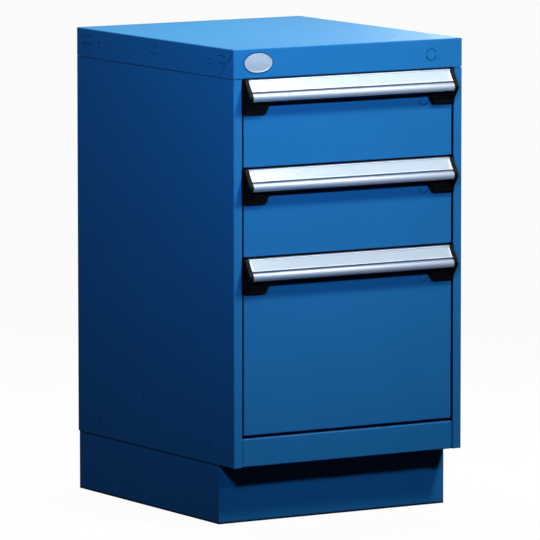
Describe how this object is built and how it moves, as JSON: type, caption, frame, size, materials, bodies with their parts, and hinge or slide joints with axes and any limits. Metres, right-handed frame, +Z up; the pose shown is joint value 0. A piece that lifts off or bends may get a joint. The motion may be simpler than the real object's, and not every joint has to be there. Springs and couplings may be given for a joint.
{
  "type": "modular drawer cabinet",
  "caption": "Compact steel drawer cabinet on a recessed base, with full-width aluminium label handles and telescopic drawer slides.",
  "frame": {"origin": "on the floor, in the middle of the whole cabinet's box with its drawers closed", "axes": "+Z up; -Y towards the drawer fronts; +X to the right of someone who faces them"},
  "size_m": [0.4588, 0.5544, 0.816],
  "materials": {
    "blue_powder_coat": "semi-gloss powder coat",
    "grey_powder_coat": "matt powder coat",
    "zinc_plated_steel": "zinc plated",
    "anodised_aluminium": "natural anodised extrusion",
    "black_plastic": "fine moulded texture",
    "label_card": "uncoated card",
    "clear_cover": "clear extruded strip"
  },
  "bodies": {
    "housing": {"side_panel_left": "blue_powder_coat", "side_panel_right": "blue_powder_coat", "top_cap": "blue_powder_coat", "back_panel": "blue_powder_coat", "front_cross_rail": "blue_powder_coat", "bottom_front_rail": "blue_powder_coat", "floor_pan": "blue_powder_coat", "base_left": "blue_powder_coat", "base_right": "blue_powder_coat", "base_front": "blue_powder_coat", "base_rear": "blue_powder_coat", "base_gussets": "blue_powder_coat", "slide_hooks": "zinc_plated_steel", "front_upright_left": "zinc_plated_steel", "front_upright_right": "zinc_plated_steel", "rear_upright_left": "zinc_plated_steel", "rear_upright_right": "zinc_plated_steel", "slide_1_channel_left": "zinc_plated_steel", "slide_1_channel_right": "zinc_plated_steel", "slide_2_channel_left": "zinc_plated_steel", "slide_2_channel_right": "zinc_plated_steel", "slide_3_channel_left": "zinc_plated_steel", "slide_3_channel_right": "zinc_plated_steel"},
    "drawer_1": {"drawer_1_tray": "grey_powder_coat", "drawer_1_front": "blue_powder_coat", "drawer_1_handle": "anodised_aluminium", "drawer_1_label_card": "label_card", "drawer_1_label_cover": "clear_cover", "drawer_1_cap_left": "black_plastic", "drawer_1_rail_left": "zinc_plated_steel", "drawer_1_cap_right": "black_plastic", "drawer_1_rail_right": "zinc_plated_steel"},
    "carriage_1": {"slide_1_middle_left": "zinc_plated_steel", "slide_1_middle_right": "zinc_plated_steel"},
    "drawer_2": {"drawer_2_tray": "grey_powder_coat", "drawer_2_front": "blue_powder_coat", "drawer_2_handle": "anodised_aluminium", "drawer_2_label_card": "label_card", "drawer_2_label_cover": "clear_cover", "drawer_2_cap_left": "black_plastic", "drawer_2_rail_left": "zinc_plated_steel", "drawer_2_cap_right": "black_plastic", "drawer_2_rail_right": "zinc_plated_steel"},
    "carriage_2": {"slide_2_middle_left": "zinc_plated_steel", "slide_2_middle_right": "zinc_plated_steel"},
    "drawer_3": {"drawer_3_tray": "grey_powder_coat", "drawer_3_front": "blue_powder_coat", "drawer_3_handle": "anodised_aluminium", "drawer_3_label_card": "label_card", "drawer_3_label_cover": "clear_cover", "drawer_3_cap_left": "black_plastic", "drawer_3_rail_left": "zinc_plated_steel", "drawer_3_cap_right": "black_plastic", "drawer_3_rail_right": "zinc_plated_steel"},
    "carriage_3": {"slide_3_middle_left": "zinc_plated_steel", "slide_3_middle_right": "zinc_plated_steel"}
  },
  "joints": [
    {"name": "drawer_1_slide", "type": "slide", "parent": "housing", "child": "drawer_1", "axis": [0, -1, 0], "range_m": [0, 0.46]},
    {"name": "carriage_1_slide", "type": "slide", "parent": "housing", "child": "carriage_1", "axis": [0, -1, 0], "range_m": [0, 0.23]},
    {"name": "drawer_2_slide", "type": "slide", "parent": "housing", "child": "drawer_2", "axis": [0, -1, 0], "range_m": [0, 0.46]},
    {"name": "carriage_2_slide", "type": "slide", "parent": "housing", "child": "carriage_2", "axis": [0, -1, 0], "range_m": [0, 0.23]},
    {"name": "drawer_3_slide", "type": "slide", "parent": "housing", "child": "drawer_3", "axis": [0, -1, 0], "range_m": [0, 0.46]},
    {"name": "carriage_3_slide", "type": "slide", "parent": "housing", "child": "carriage_3", "axis": [0, -1, 0], "range_m": [0, 0.23]}
  ],
  "couplings": [
    {"joint": "carriage_1_slide", "follows": "drawer_1_slide", "ratio": 0.5},
    {"joint": "carriage_2_slide", "follows": "drawer_2_slide", "ratio": 0.5},
    {"joint": "carriage_3_slide", "follows": "drawer_3_slide", "ratio": 0.5}
  ]
}
